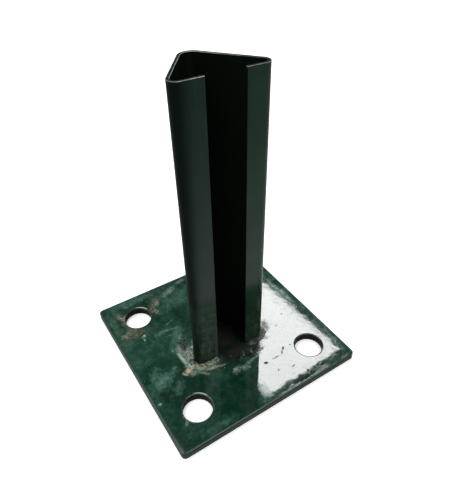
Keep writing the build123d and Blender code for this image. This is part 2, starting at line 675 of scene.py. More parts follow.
@dataclass(frozen=True)
class PlateFinish:
    """Glossy green paint on the floor plate, hazed, stained and scratched by use, with painted shade round
    and inside the upright's foot and along the plate's edges, and painted highlights on the left holes' far
    rims.
    """

    plate_half: float
    plate_top: float = PLATE_TOP
    coat: Coat = Coat("plate_paint", specular=0.5, bump_depth=0.012 * MM)
    holes: HolePattern = HolePattern()
    deep: ScreenColour = (10, 38, 28)
    clear: ScreenColour = (34, 72, 57)
    layers: tuple[Layer, ...] = (
        Layer("haze", (94, 138, 123), roughness=0.12),
        Layer("scratches", (94, 138, 123), cover=0.12, roughness=0.16),
        Layer("olive", (70, 86, 62), roughness=0.10),
        Layer("rust", (98, 90, 68), roughness=0.35),
        # slot_shade is painted shade: the upright's shadow and dark reflection on the plate round and inside
        # its foot. It also dulls the gloss there.
        Layer("slot_shade", (24, 25, 19), roughness=0.45),
        Layer("slag", (8, 22, 15), cover=0.9, roughness=0.10),
        Layer("pale", (166, 190, 168), roughness=0.40),
        Layer("tan", (206, 194, 162)),
        Layer("dots", (166, 190, 168)),
        Layer("pits", (24, 25, 19), roughness=0.60),
        # border and rounding are painted shade: a dark grey-green outline on the plate's top edges and their
        # rounding, standing in for the edges' dark reflection.
        Layer("border", (40, 58, 49), cover=0.5),
        # hole_rim_highlight is a painted highlight on the far side of the left holes' rims.
        Layer("hole_rim_highlight", (166, 190, 168), roughness=0.40),
        Layer("rounding", (40, 58, 49), cover=0.8, roughness=0.30),
    )
    gloss: float = 0.045
    weld_toe: float = 4.2
    mark_depth: float = 1000.0
    roll_reach: Point = (-0.5, 6.0)
    roll_height: float = 3.0
    far_way: Place = (0.64, 0.77, 0.0)
    haze: tuple[Mark, ...] = (
        Mark(-38.0, 56.0, 24.0, 5.5, 0, 0.55, 0.4, 0.30),
        Mark(-56.0, 44.0, 4.0, 15.0, 0, 0.45, 0.4, 0.30),
        Mark(-49.5, -14.4, 10, 7, 40, 0.75, 0.7, 0.30),
        Mark(-50.3, -8.0, 7, 4.5, 60, 0.55, 0.8, 0.40),
        Mark(-42.4, -11.8, 8, 4, 20, 0.50, 0.8, 0.35),
        Mark(-43.0, -23.0, 8, 4, 35, 0.35, 0.9, 0.35),
        Mark(-56.0, -18.8, 3, 8, 0, 0.30, 0.9, 0.40),
        Mark(-49.0, -45.0, 9, 3, 60, 0.12, 0.9, 0.40),
        Mark(-50.0, -53.0, 7, 5, 20, 0.14, 0.9, 0.35),
        Mark(-36.0, -56.0, 12, 3, 0, 0.35, 0.9, 0.40),
        Mark(-24.5, 13.0, 13, 5, 60, 0.45, 0.4, 0.20),
        Mark(-31.0, 6.0, 9, 4, 60, 0.45, 0.4, 0.20),
        Mark(-32.0, 19.5, 11, 2, 8, 0.40, 0.8, 0.50),
        Mark(-12.0, 42.0, 20, 9, 15, 0.35, 0.5, 0.12),
        Mark(-52.0, 51.0, 4, 4, 20, 0.35, 0.8, 0.50),
        Mark(-18.0, 50.5, 14, 4, 8, 0.35, 0.9, 0.40),
        Mark(55.0, 2.0, 14, 2.6, 90, 0.85, 0.8, 0.45),
        Mark(54.0, 17.0, 10, 2.4, 90, 0.40, 0.9, 0.45),
        Mark(56.5, -46.0, 12, 2.5, 85, 0.55, 0.9, 0.45),
        Mark(-2.0, -52.0, 8, 5, 70, 0.75, 0.8, 0.45),
        Mark(30.0, 40.0, 18, 10, 30, 0.30, 0.8, 0.20),
        Mark(5.0, 45.0, 14, 6, 160, 0.30, 0.8, 0.20),
    )
    pale: tuple[Mark, ...] = (
        Mark(-29.6, 1.0, 7.0, 2.6, 80, 0.45, 0.35, 0.30),
        Mark(-31.2, -6.0, 9.5, 1.9, 92, 1.0, 0.25, 0.40),
        Mark(-29.6, -13.5, 5.0, 1.6, 110, 1.0, 0.25, 0.50),
        Mark(-25.5, -18.2, 6.5, 1.7, -40, 0.95, 0.35, 0.60),
        Mark(-20.0, -21.6, 6.0, 1.7, -10, 0.85, 0.45, 0.60),
        Mark(-13.0, -23.6, 4.0, 1.2, -8, 0.50, 0.60, 0.70),
        Mark(-25.6, -22.0, 6.5, 1.3, -46, 0.60, 0.50, 0.70),
    )
    smears: tuple[Mark, ...] = (
        Mark(-7.6, -31.0, 4.4, 3.2, 10, 1.0, 0.50, 0.45),
        Mark(-2.6, -32.0, 5.0, 2.8, -5, 1.0, 0.55, 0.45),
        Mark(1.6, -30.4, 5.0, 1.6, 12, 0.9, 0.60, 0.50),
        Mark(6.5, -29.6, 3.4, 1.2, 15, 0.8, 0.60, 0.60),
        Mark(7.5, -24.8, 1.0, 0.7, 0, 0.9, 0.40, 0.90),
        Mark(-5.2, -20.6, 1.0, 0.7, 0, 0.9, 0.40, 0.90),
        Mark(12.5, -26.5, 4.0, 1.0, 30, 0.5, 0.70, 0.90),
        Mark(-50.2, 46.0, 2.0, 5.5, 25, 0.55, 0.60, 0.55),
        Mark(-27.2, 38.6, 2.2, 5.0, 15, 0.55, 0.60, 0.60),
        Mark(-28.0, 19.5, 9.0, 0.9, -12, 0.30, 0.60, 0.60),
        Mark(-30.0, 15.0, 6.0, 0.8, -8, 0.28, 0.60, 0.60),
        Mark(-24.0, 25.0, 5.0, 0.8, 20, 0.28, 0.60, 0.60),
        Mark(-43.5, 23.2, 2.6, 1.8, 20, 0.9, 0.50, 0.70),
        Mark(-44.3, 20.1, 1.8, 1.2, 60, 0.7, 0.50, 0.70),
        Mark(-56.6, -26.6, 1.6, 1.1, 0, 0.8, 0.40, 0.90),
        Mark(-10.0, 51.6, 7.0, 3.4, 30, 0.55, 0.80, 0.80),
        Mark(-16.0, 49.0, 5.0, 3.0, 70, 0.45, 0.80, 0.80),
        Mark(0.0, 56.0, 7.0, 2.6, 10, 0.45, 0.80, 0.80),
        Mark(-49.4, -44.9, 3.0, 1.4, 40, 0.6, 0.70, 0.80),
        Mark(-24.0, 44.5, 3.6, 2.2, 60, 0.6, 0.80, 0.90),
        Mark(-53.5, 30.0, 4.0, 3.0, 20, 0.3, 0.70, 0.50),
        Mark(52.5, -59.0, 5.0, 1.0, 10, 0.6, 0.70, 0.60),
        Mark(30.0, -59.2, 16.0, 0.9, 0, 0.5, 0.80, 0.50),
        Mark(58.6, -58.0, 1.0, 1.0, 0, 1.0, 0.30, 0.60),
    )
    slag: tuple[Mark, ...] = (
        Mark(-26.2, 1.0, 13.0, 3.8, 72, 1.0, 0.35, 0.40),
        Mark(-23.5, -16.0, 6.0, 4.0, -30, 0.8, 0.40, 0.40),
        Mark(26.5, -13.0, 8.5, 4.6, 75, 0.7, 0.50, 0.40),
        Mark(19.0, -21.5, 6.5, 3.0, 10, 0.7, 0.50, 0.50),
        Mark(5.0, -25.0, 13.0, 4.5, -2, 0.9, 0.45, 0.50),
    )
    rust: tuple[Mark, ...] = (
        Mark(-25.4, 45.8, 8.5, 4.2, 30, 1.00, 0.35, 0.30),
        Mark(-29.4, 41.0, 2.4, 5.5, 10, 0.95, 0.40, 0.35),
        Mark(-48.8, 30.6, 8.5, 4.6, 25, 1.05, 0.30, 0.25),
        Mark(-52.6, 28.4, 5.0, 4.2, 20, 0.80, 0.35, 0.25),
        Mark(-45.2, 26.9, 7.5, 2.8, 10, 0.85, 0.35, 0.30),
        Mark(-49.6, 40.5, 2.6, 8.0, 5, 0.90, 0.45, 0.40),
        Mark(-43.4, 53.6, 3.2, 2.2, 80, 0.65, 0.55, 0.35),
        Mark(-38.0, 27.0, 6.0, 1.6, 0, 0.35, 0.9, 0.50),
        Mark(-42.5, -21.6, 3.5, 1.6, 20, 0.45, 0.55, 0.35),
        Mark(-31.5, -19.0, 4.5, 1.6, 10, 0.50, 0.7, 0.50),
        Mark(-17.5, -24.2, 5.0, 1.2, -40, 0.50, 0.55, 0.35),
        Mark(27.5, -54.6, 5.0, 1.6, 10, 0.45, 0.9, 0.60),
        Mark(14.0, -59.0, 14.0, 1.0, 0, 0.55, 0.9, 0.40),
        Mark(36.0, -57.5, 9.0, 1.5, 10, 0.40, 0.9, 0.40),
        Mark(44.0, 46.0, 6.0, 4.0, 40, 0.45, 0.5, 0.25),
        Mark(33.0, 36.0, 5.0, 3.0, 120, 0.35, 0.5, 0.25),
    )
    olive: tuple[Mark, ...] = (
        Mark(-49.5, 47.5, 4.5, 9.0, 35, 0.90, 0.35, 0.30),
        Mark(-53.5, 25.0, 5.5, 6.0, 20, 0.75, 0.40, 0.30),
        Mark(-55.3, 42.5, 3.0, 7.0, 0, 0.65, 0.8, 0.35),
        Mark(-54.5, 34.0, 5.0, 5.0, 0, 0.65, 0.8, 0.35),
        Mark(-44.0, 31.0, 9.0, 4.0, 20, 0.45, 0.8, 0.35),
        Mark(-16.7, -26.4, 4.5, 2.6, 20, 0.60, 0.6, 0.40),
        Mark(-27.0, 36.0, 4.0, 3.0, 20, 0.40, 0.8, 0.40),
        Mark(-20.0, 55.0, 16.0, 3.0, 3, 0.40, 0.9, 0.30),
    )
    # Painted shade on the plate round the upright's foot and inside it, where the upright's shadow and dark
    # mirror image fall.
    slot_shade: tuple[Mark, ...] = (
        Mark(1.0, -19.6, 17, 7.5, -6, 1.50, 0.40, 0.42),
        Mark(9.0, -24.0, 9, 4.5, -8, 0.85, 0.65, 0.55),
        Mark(-2.0, -5.0, 20, 14, 0, 1.80, 0.20, 0.30),
        Mark(-12.0, -23.0, 9, 4.0, -8, 0.80, 0.60, 0.60),
        Mark(26.0, -12.0, 8, 4.0, 70, 0.40, 0.60, 0.50),
    )
    tan: tuple[Mark, ...] = (
        Mark(-32.4, -15.8, 5.0, 2.5, 20, 0.60, 0.80, 0.60),
        Mark(-17.0, -22.4, 5.0, 1.2, -8, 0.30, 0.60, 0.70),
    )
    pits: tuple[Mark, ...] = (
        Mark(9.6, -36.6, 1.7, 1.1, -30, 1.0, 0.15, 1.0),
        Mark(27.3, -55.0, 1.5, 0.8, 60, 1.0, 0.25, 1.0),
        Mark(25.0, -33.4, 1.6, 0.9, 50, 0.8, 0.30, 1.0),
        Mark(22.6, -35.6, 2.2, 0.7, 60, 0.45, 0.40, 1.0),
        Mark(17.5, -36.6, 4.0, 0.6, 0, 0.35, 0.50, 1.0),
        Mark(30.6, -33.6, 1.0, 0.7, 0, 0.40, 0.40, 1.0),
        Mark(22.0, -47.5, 2.0, 0.7, 20, 0.30, 0.50, 1.0),
        Mark(13.0, -45.0, 1.4, 0.7, 70, 0.30, 0.50, 1.0),
        Mark(33.0, -16.0, 1.6, 0.7, 20, 0.30, 0.50, 1.0),
        Mark(42.0, -10.0, 1.4, 0.7, 70, 0.25, 0.50, 1.0),
    )

    def _marks(self, brush: Brush, effects: Effects, marks: tuple[Mark, ...]) -> Signal:
        """Lay one kind of mark on the plate.

        Args:
            brush: The material in the making.
            effects: The shared groups.
            marks: The marks.

        Returns:
            One mask for all of them.
        """
        masks = []
        for mark in marks:
            made = brush.mask(
                effects.soft_mark,
                Centre=(mark.x, mark.y, self.plate_top),
                Half_Size=(mark.length, mark.width, self.mark_depth),
                Turn=math.radians(mark.turn),
                Ragged=mark.ragged,
                Grain=mark.grain,
            )
            masks.append(made * mark.strength)
        return brush.wiring.either(*masks)

    def _hole_rim_highlight(self, brush: Brush, across: Signal) -> Signal:
        """Return a painted highlight: the pale line on the far side of the left holes' rims.

        Args:
            brush: The material in the making.
            across: How far to the right of the plate's middle a place lies.

        Returns:
            The line's mask.
        """
        wiring = brush.wiring
        spoke = self.holes.spoke(brush)
        from_middle = wiring.measured("LENGTH", spoke)
        outwards = wiring.vector("MULTIPLY", wiring.vector("SIGN", brush.place), spoke)
        far_side = wiring.measured("DOT_PRODUCT", wiring.vector("NORMALIZE", outwards), self.far_way)
        rim = self.holes.radius + self.holes.rim_round
        outer = wiring.ramp(from_middle, rim + 0.45, rim + 0.1)
        inner = wiring.ramp(from_middle, rim - 0.35, rim - 0.1)
        return outer * inner * wiring.ramp(far_side, 0.86, 0.98) * wiring.ramp(across, 12.0, -12.0)

    def _halo(self, brush: Brush, toe: Signal, patch: Signal) -> Signal:
        """Return the ragged pale ring that the weld's toe has on the left.

        Args:
            brush: The material in the making.
            toe: The distance from the upright's foot line.
            patch: The paint's mottled film.

        Returns:
            The ring's mask.
        """
        wiring = brush.wiring
        across, deep_in, _up = wiring.axes(brush.place)
        outer = wiring.ramp(patch * -1.2 + toe, self.weld_toe + 2.2, self.weld_toe - 0.5)
        inner = wiring.ramp(toe, self.weld_toe - 3.0, self.weld_toe - 1.5)
        sideways = wiring.ramp(across, -8.0, -18.0) * wiring.ramp(across, -34.0, -31.0)
        return outer * inner * sideways * wiring.ramp(deep_in, 4.0, -6.0) * 0.45

    def material(self, effects: Effects) -> bpy.types.Material:
        """Build the plate's material.

        Args:
            effects: The shared groups.

        Returns:
            The material.
        """
        brush = Brush.start(self.coat.name)
        wiring = brush.wiring
        film = partial(brush.mask, effects.film)
        marks = partial(self._marks, brush, effects)
        across, deep_in, _up = wiring.axes(brush.place)
        border = self.plate_half - wiring.either(abs(across), abs(deep_in))
        tilt = abs(wiring.axes(brush.normal)[2])
        toe = brush.lay(effects.foot_distance)["Distance"]

        cloud = film(Grain=0.035, Low=0.35, High=0.68, Twist=0.6)
        patch = film(Grain=0.22, Low=0.38, High=0.72, Twist=0.9)
        grain = film(Grain=0.8, Low=0.4, High=0.72, Twist=0.6)
        crosswise = brush.mask(effects.streaks, Turn=0.9, Fineness=(0.06, 1.5, 0.05))
        lengthwise = brush.mask(effects.streaks, Turn=-0.45, Fineness=(0.05, 1.9, 0.05))
        lines = brush.mask(effects.squiggles, Grain=0.25, Width=0.024)
        wrinkles = brush.mask(effects.squiggles, Grain=0.42, Width=0.05)
        specks = brush.lay(effects.specks, Spacing=3.4, Size=0.10, Share=0.16)

        wisps = patch * 0.45 + grain * 0.35 + 0.3
        stain = grain * 0.6 + patch * 0.3 + 0.3
        residue = grain * 0.6 + lengthwise * 0.3 + 0.4
        slag = marks(self.slag)
        masks = {
            "haze": marks(self.haze) * wisps + patch * cloud * 0.16,
            "scratches": wiring.either(
                crosswise * 0.4, lengthwise * 0.4, lines * wiring.ramp(across, 4.0, 10.0) * 0.6
            ),
            "olive": marks(self.olive) * stain,
            "rust": marks(self.rust) * stain,
            # Painted shade round and inside the upright's foot.
            "slot_shade": marks(self.slot_shade),
            "slag": slag,
            "pale": wiring.either(
                wiring.either(self._halo(brush, toe, patch), marks(self.pale)) * residue,
                marks(self.smears) * (grain * 1.1 + 0.1),
                slag * wrinkles * 0.8,
            ),
            "tan": marks(self.tan),
            "dots": specks["Mask"] * (specks["Tone"] * 0.6 + 0.15),
            "pits": marks(self.pits),
            # Painted shade: a dark outline on the last 2 mm of the plate's top.
            "border": wiring.ramp(border, 2.0, 0.8),
            # Painted highlight on the far side of the left holes' rims.
            "hole_rim_highlight": self._hole_rim_highlight(brush, across),
            # Painted shade on the tilted faces of the rounded edges.
            "rounding": wiring.ramp(tilt, 0.97, 0.75),
        }

        colour = wiring.blend(cloud * 0.6 + patch * 0.3 + grain * 0.1, self.deep, self.clear)
        roughness = self.gloss
        for layer in self.layers:
            mask = masks[layer.name]
            colour = wiring.blend(mask * layer.cover, colour, layer.colour)
            if layer.roughness:
                roughness = mask * layer.roughness + roughness

        sway = wiring.noise(brush.place, 0.15, detail=1.0) * -4.5 + 1.5
        roll_off = wiring.ramp(border + sway, *self.roll_reach)
        height = (
            brush.lay(effects.skin, Wave=2.4, Peel=0.26, Dust=0.0)["Height"]
            + (roll_off - 1.0) * wiring.ramp(across, -22.0, 2.0) * self.roll_height
            + masks["pale"] * grain * 4.0
            + masks["dots"] * 2.0
            + masks["pits"] * -6.0
            + masks["scratches"] * -0.3
            + slag * wrinkles * 4.0
        )
        return self.coat.finish(brush, colour, roughness, height)


@dataclass(frozen=True)
class EdgeFinish:
    """The plate's cut edges and hole walls: dull green paint, with a grey-brown line half way down."""

    coat: Coat = Coat("edge_paint", specular=0.02, bump_depth=0.02 * MM)
    holes: HolePattern = HolePattern()
    steepest: float = 0.45
    hole_reach: float = 12.0
    paint: ScreenColour = (34, 54, 44)
    pale_line: ScreenColour = (70, 72, 62)
    wall: ScreenColour = (26, 24, 18)
    wall_worn: ScreenColour = (70, 58, 54)
    roughness: float = 0.5

    def material(self, effects: Effects) -> bpy.types.Material:
        """Build the edges' material.

        Args:
            effects: The shared groups.

        Returns:
            The material.
        """
        brush = Brush.start(self.coat.name)
        wiring = brush.wiring
        film = partial(brush.mask, effects.film)
        height_up = wiring.axes(brush.place)[2]
        from_hole = wiring.measured("LENGTH", self.holes.spoke(brush))
        in_hole = wiring.ramp(from_hole, self.hole_reach + 1.0, self.hole_reach)
        patch = film(Grain=0.12, Low=0.35, High=0.65, Twist=0.6)
        ring = film(Stretch=(0.12, 0.12, 1.6), Grain=0.9, Low=0.45, High=0.65, Twist=0.1)
        # A lighter grey-brown line from about 1 to 3 mm up the edges.
        line = wiring.ramp(height_up, 3.4, 2.4) * wiring.ramp(height_up, 0.7, 1.3)
        outside = wiring.blend(line * (patch * 0.6 + 0.35), self.paint, self.pale_line)
        inside = wiring.blend(ring * patch * 0.8, self.wall, self.wall_worn)
        colour = wiring.blend(in_hole, outside, inside)
        skin = brush.lay(effects.skin, Wave=0.8, Peel=0.4, Dust=0.2)["Height"]
        return self.coat.finish(brush, colour, self.roughness, skin + ring * 0.6)

    def cover(self, piece: bpy.types.Object, material: bpy.types.Material) -> None:
        """Give a piece's steep faces this finish.

        Args:
            piece: The dressed piece.
            material: The edges' material.
        """
        piece.data.materials.append(material)
        for face in piece.data.polygons:
            if abs(face.normal.z) < self.steepest:
                face.material_index = 1


@dataclass(frozen=True)
class UprightFinish:
    """Green paint on the folded sheet, darkened to near black as painted shade, most at the bends and inside;
    glossier on the lips, with painted highlight lines at the rim.
    """

    section: FootSection
    coat: Coat = Coat("upright_paint", specular=0.02, bump_depth=0.010 * MM, gloss_roughness=0.14)
    # Painted shade: the upright carries the plate's green paint, darkened here to near black because its
    # standing faces get less light.
    deep: ScreenColour = (2, 9, 6)
    clear: ScreenColour = (17, 38, 31)
    right_clear: ScreenColour = (21, 48, 34)
    # Painted shade for the faces inside the hollow.
    inner_shade_colour: ScreenColour = (10, 16, 11)
    dust_colour: ScreenColour = (84, 104, 88)
    # Painted highlight colour for the lines on the rim's rounded edges.
    rim_highlight_colour: ScreenColour = (178, 186, 174)
    roughness: float = 0.45
    foot_height: float = PLATE_TOP
    rim_height: float = 175.0
    inside: Place = (-2.5, -4.9, 0.0)
    low_gloss: float = 0.40
    high_gloss: float = 0.11
    web_gloss: float = 0.12

    def material(self, effects: Effects) -> bpy.types.Material:
        """Build the upright's material.

        Args:
            effects: The shared groups.

        Returns:
            The material.
        """
        brush = Brush.start(self.coat.name)
        wiring = brush.wiring
        film = partial(brush.mask, effects.film)
        across, _deep_in, height_up = wiring.axes(brush.place)
        _facing_right, facing_back, facing_up = wiring.axes(brush.normal)
        above_foot = height_up - self.foot_height
        below_rim = self.rim_height - height_up
        rise = wiring.math("DIVIDE", above_foot, self.rim_height - self.foot_height, clamp=True)

        flat_place = wiring.vector("MULTIPLY", brush.place, (1.0, 1.0, 0.0))
        spoke = wiring.vector("SUBTRACT", flat_place, self.inside)
        outer = wiring.ramp(wiring.measured("DOT_PRODUCT", brush.normal, spoke), 0.5, 4.0)
        left, _back, right = (self.section.placed(corner) for corner in self.section.corners())
        from_left = wiring.measured("DISTANCE", flat_place, tuple(left))
        from_right = wiring.measured("DISTANCE", flat_place, tuple(right))
        # flat is painted shade: near black towards both bends, widening higher up. It also thins the dust and
        # the gloss at the bends.
        flat = wiring.ramp(from_left, 3.0, rise * 6.5 + 8.5) * wiring.ramp(from_right, 1.2, 3.2)
        lip = wiring.ramp(facing_back, -0.6, -0.93)
        on_right = wiring.ramp(across, -3.0, 3.0)
        on_left = wiring.ramp(across, -5.0, -12.0)

        band = film(Stretch=(1.0, 1.0, 0.12), Grain=0.16, Low=0.3, High=0.75, Twist=0.2)
        cloud = film(Grain=0.045, Low=0.35, High=0.7, Twist=0.5)
        patch = film(Grain=0.28, Low=0.4, High=0.72, Twist=0.7)
        grain = film(Grain=0.8, Low=0.4, High=0.72, Twist=0.4)
        runs = film(Stretch=(1.0, 1.0, 0.3), Grain=0.22, Low=0.4, High=0.65, Twist=0.7)
        lines = brush.mask(effects.streaks, Turn=0.3, Fineness=(1.3, 1.3, 0.02), Low=0.62, High=0.78)
        specks = brush.lay(effects.specks, Spacing=5.0, Size=0.05, Share=0.10)

        # The tone goes to near black at the bends: painted shade.
        tone = (band * 0.3 + cloud * 0.3 + 0.45) * (flat * 0.97 + 0.03)
        body = wiring.blend(tone, self.deep, wiring.blend(on_right, self.clear, self.right_clear))
        foot = wiring.ramp(above_foot, 42.0, 4.0)
        low_foot = wiring.ramp(above_foot, 30.0, 8.0)
        high_foot = wiring.ramp(above_foot, 53.0, 43.0) * wiring.ramp(above_foot, 14.0, 28.0)
        dust = (
            foot * patch * 0.20
            + low_foot * patch * grain * 0.35
            + low_foot * on_left * (runs * 0.32 + 0.04)
            + high_foot * on_left * (patch * 0.20 + 0.16)
            + lines * 0.04
            + specks["Mask"] * specks["Tone"] * 0.3
        )
        colour = wiring.blend(dust * (flat * 0.8 + 0.2) * outer, body, self.dust_colour)
        # Painted shade: the faces inside the hollow take a near-black colour.
        colour = wiring.blend(outer, self.inner_shade_colour, colour)

        # Painted highlight: pale lines on the rim's rounded edges, strongest on faces turned to the front,
        # and fading from the left to the right except on the lips.
        facing_edge = wiring.ramp(facing_up, 0.97, 0.85) * wiring.ramp(facing_up, 0.15, 0.45)
        rounding = wiring.ramp(below_rim, 0.42, 0.2) * facing_edge
        towards_front = wiring.ramp(facing_back, 0.3, -0.45, 0.25, 1.0)
        kept_bright = wiring.either(wiring.ramp(across, 4.0, 17.0, 1.0, 0.35), lip)
        pale_line = rounding * towards_front * kept_bright * (patch * 0.5 + grain * 0.3 + 0.4)
        colour = wiring.blend(pale_line, colour, self.rim_highlight_colour)

        lip_gloss = wiring.ramp(rise, 0.0, 1.0, self.low_gloss, self.high_gloss)
        gloss = lip * flat * lip_gloss + (1.0 - lip) * flat * self.web_gloss
        gloss = gloss * outer * (band * -0.25 + 1.1)
        skin = brush.lay(effects.skin, Stretch=(1.0, 1.0, 0.35), Wave=0.8, Peel=0.3, Dust=0.1)["Height"]
        return self.coat.finish(brush, colour, self.roughness, skin, gloss)


@dataclass(frozen=True)
class WeldFinish:
    """The same paint over a rippled weld: bare and beige on the left lip, sooty on the right one."""

    coat: Coat = Coat("weld_paint", specular=0.5, bump_depth=0.05 * MM)
    deep: ScreenColour = (10, 26, 20)
    clear: ScreenColour = (30, 58, 46)
    pale_colour: ScreenColour = (176, 196, 172)
    beige_colour: ScreenColour = (142, 142, 116)
    brown_colour: ScreenColour = (62, 58, 44)
    soot_colour: ScreenColour = (24, 23, 19)
    ash_colour: ScreenColour = (66, 66, 58)
    gloss: float = 0.18
    weld_leg: float = WELD_LEG

    def material(self, effects: Effects) -> bpy.types.Material:
        """Build the welds' material.

        Args:
            effects: The shared groups.

        Returns:
            The material.
        """
        brush = Brush.start(self.coat.name)
        wiring = brush.wiring
        film = partial(brush.mask, effects.film)
        across, deep_in, _up = wiring.axes(brush.place)
        hollow = wiring.output("ShaderNodeAttribute", port="Fac", attribute_name=HOLLOW)
        patch = film(Grain=0.4, Low=0.38, High=0.66, Twist=0.8)
        grain = film(Grain=1.3, Low=0.42, High=0.68, Twist=0.5)
        wrinkles = brush.mask(effects.squiggles, Grain=0.42, Width=0.055)
        specks = brush.lay(effects.specks, Spacing=1.8, Size=0.2, Share=0.18)
        toe = brush.lay(effects.foot_distance)["Distance"]

        front = wiring.ramp(deep_in, -12.5, -15.0)
        left_lip = front * wiring.ramp(across, -9.0, -15.0) * wiring.ramp(across, -29.5, -27.0)
        right_lip = front * wiring.ramp(across, -15.0, -9.0) * wiring.ramp(across, 27.0, 22.0)

        paint = wiring.blend(patch, self.deep, self.clear)
        dark_patch = wiring.blend(grain, self.soot_colour, self.brown_colour)
        beige = wiring.blend(patch, dark_patch, self.beige_colour)
        soot = wiring.blend(patch * grain, self.soot_colour, self.ash_colour)
        body = wiring.blend(right_lip, wiring.blend(left_lip, paint, beige), soot)

        low = wiring.ramp(toe, self.weld_leg - 1.8, self.weld_leg - 0.4)
        at_left_lip = wiring.ramp(across, -8.0, -16.0) * wiring.ramp(deep_in, -9.0, -14.0)
        skirt = low * (grain * 0.5 + 0.4) * at_left_lip
        caught = hollow * grain * 0.25
        lines = wrinkles * wiring.ramp(right_lip, 0.0, 1.0, 0.85, 0.5)
        pale = wiring.either(skirt, caught, lines)
        dots = specks["Mask"] * specks["Tone"] * 0.7
        colour = wiring.blend(dots, wiring.blend(pale, body, self.pale_colour), self.pale_colour)
        roughness = pale * 0.3 + left_lip * 0.35 + right_lip * 0.25 + self.gloss
        return self.coat.finish(brush, colour, roughness, patch * 1.2 + grain * 0.8 + wrinkles * 0.8)


def dress(node: str, material: bpy.types.Material) -> bpy.types.Object:
    """Give a node of the model its material.

    Args:
        node: The node's name.
        material: The material.

    Returns:
        The node's object.
    """
    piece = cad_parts[node]
    piece.data.materials.clear()
    piece.data.materials.append(material)
    log.info("dressed %s: %d faces", piece.name, len(piece.data.polygons))
    return piece


def linked(name: str, data: bpy.types.ID) -> bpy.types.Object:
    """Make an object and put it into the scene.

    Args:
        name: The object's name.
        data: Its mesh, lamp or camera.

    Returns:
        The new object.
    """
    made = bpy.data.objects.new(name, data)
    bpy.context.scene.collection.objects.link(made)
    return made


def path_object(name: str, points: list[Vector]) -> bpy.types.Object:
    """Make a chain of edges through points.

    Args:
        name: The object's name.
        points: The points, in metres.

    Returns:
        The new object, linked to the scene.
    """
    mesh = bpy.data.meshes.new(name)
    edges = [(number, number + 1) for number in range(len(points) - 1)]
    mesh.from_pydata([tuple(point) for point in points], edges, [])
    return linked(name, mesh)


def grown(path: bpy.types.Object, group: Group, values: dict[str, Feed]) -> bpy.types.Object:
    """Run a Geometry Nodes tree on a path and keep its result as a plain mesh.

    Args:
        path: The object that holds the path.
        group: The tree.
        values: The tree's inputs, by name.

    Returns:
        The same object, with the grown mesh and no modifier.
    """
    modifier = path.modifiers.new(group.tree.name, "NODES")
    modifier.node_group = group.tree
    for item in group.tree.interface.items_tree:
        if item.in_out == "INPUT" and item.name in values:
            modifier[item.identifier] = values[item.name]
    graph = bpy.context.evaluated_depsgraph_get()
    mesh = bpy.data.meshes.new_from_object(path.evaluated_get(graph), depsgraph=graph)
    mesh.name = path.name
    path.modifiers.remove(modifier)
    path.data = mesh
    return path


